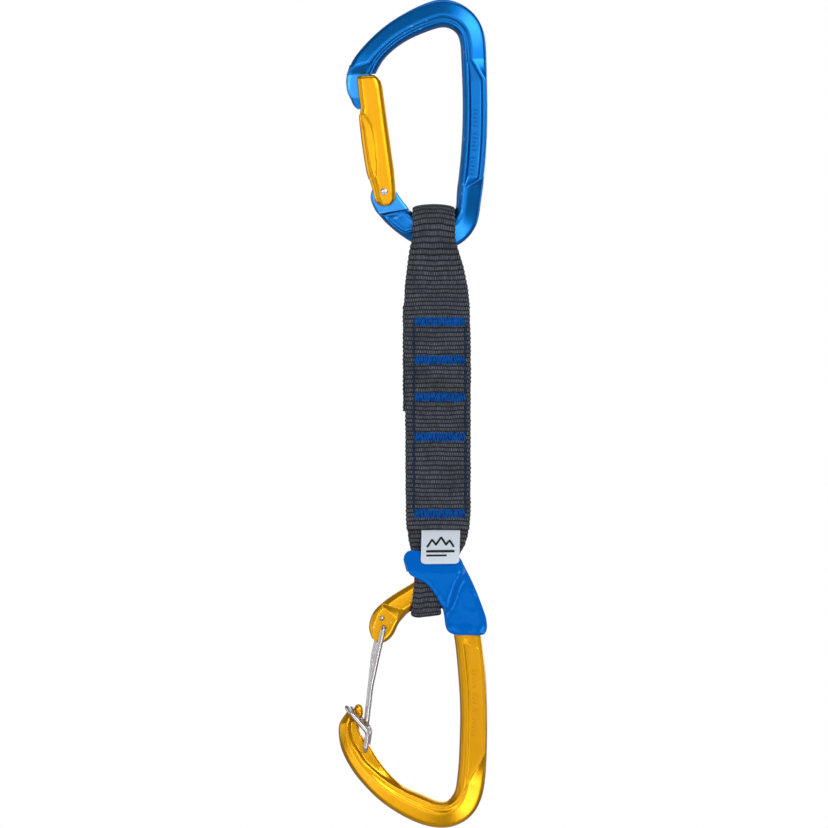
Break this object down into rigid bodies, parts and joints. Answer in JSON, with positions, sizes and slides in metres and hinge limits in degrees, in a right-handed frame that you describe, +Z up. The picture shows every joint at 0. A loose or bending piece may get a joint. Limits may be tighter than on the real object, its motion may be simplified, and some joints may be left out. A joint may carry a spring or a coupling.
{
  "type": "climbing quickdraw",
  "caption": "Climbing quickdraw: a solid-gate carabiner and a wire-gate carabiner joined by a flat sewn webbing sling, with a moulded keeper on the rope end.",
  "frame": {"origin": "the hanging point: the highest point inside the upper carabiner, where it bears on a bolt hanger", "axes": "+Z up along the hanging quickdraw, +X from the gates towards the spines, +Y through the carabiners' thickness with the front at -Y"},
  "size_m": [0.0598, 0.0212, 0.3315],
  "materials": {
    "blue_anodised": "satin anodised",
    "gold_anodised": "satin anodised",
    "steel": "polished",
    "webbing": "woven",
    "tack_thread": "thread",
    "edge_thread": "thread",
    "label": "woven",
    "keeper_rubber": "glossy moulded"
  },
  "bodies": {
    "upper_carabiner": {"upper_frame": "blue_anodised"},
    "upper_gate_unit": {"upper_gate": "gold_anodised", "gate_rivet": "steel", "gate_spring": "steel"},
    "gate_pin": {"gate_plunger": "steel"},
    "sling_head": {"sling_top_loop": "webbing"},
    "sling": {"sling_webbing": "webbing", "bar_tack_1": "tack_thread", "bar_tack_2": "tack_thread", "bar_tack_3": "tack_thread", "bar_tack_4": "tack_thread", "bar_tack_5": "tack_thread", "edge_stitch_left": "edge_thread", "edge_stitch_right": "edge_thread", "woven_label": "label"},
    "lower_carabiner": {"sling_bottom_loop": "webbing", "lower_frame": "gold_anodised", "nose_hood": "steel", "keeper": "keeper_rubber"},
    "wire_gate_unit": {"wire_gate": "steel"}
  },
  "joints": [
    {"name": "upper_gate_hinge", "type": "hinge", "parent": "upper_carabiner", "child": "upper_gate_unit", "pos_m": [-0.0238, 0, -0.0658], "axis": [0, 1, 0], "range_deg": [0, 30], "stiffness_Nm_per_rad": 0.25, "springref_deg": -34.38},
    {"name": "gate_pin_slide", "type": "slide", "parent": "upper_gate_unit", "child": "gate_pin", "axis": [-0.1323, 0, 0.9912], "range_m": [0, 0.0008], "deforming": ["gate_spring"]},
    {"name": "sling_swing", "type": "hinge", "parent": "upper_carabiner", "child": "sling_head", "pos_m": [-0.0042, 0, -0.0812], "axis": [1, 0, 0], "range_deg": [-75, 75]},
    {"name": "sling_twist", "type": "hinge", "parent": "sling_head", "child": "sling", "pos_m": [-0.0026, 0, -0.1138], "axis": [0, 0, 1], "range_deg": [-45, 45], "stiffness_Nm_per_rad": 0.02},
    {"name": "sling_flex", "type": "hinge", "parent": "sling", "child": "lower_carabiner", "pos_m": [-0.0023, 0.001, -0.2054], "axis": [1, 0, 0], "range_deg": [-45, 45], "stiffness_Nm_per_rad": 0.02, "deforming": ["woven_label"]},
    {"name": "wire_gate_hinge", "type": "hinge", "parent": "lower_carabiner", "child": "wire_gate_unit", "pos_m": [-0.0242, 0, -0.238], "axis": [0, -1, 0], "range_deg": [0, 28], "stiffness_Nm_per_rad": 0.15, "springref_deg": -34.38}
  ],
  "couplings": [
    {"joint": "gate_pin_slide", "follows": "upper_gate_hinge", "m_per_rad": 0.0014}
  ]
}
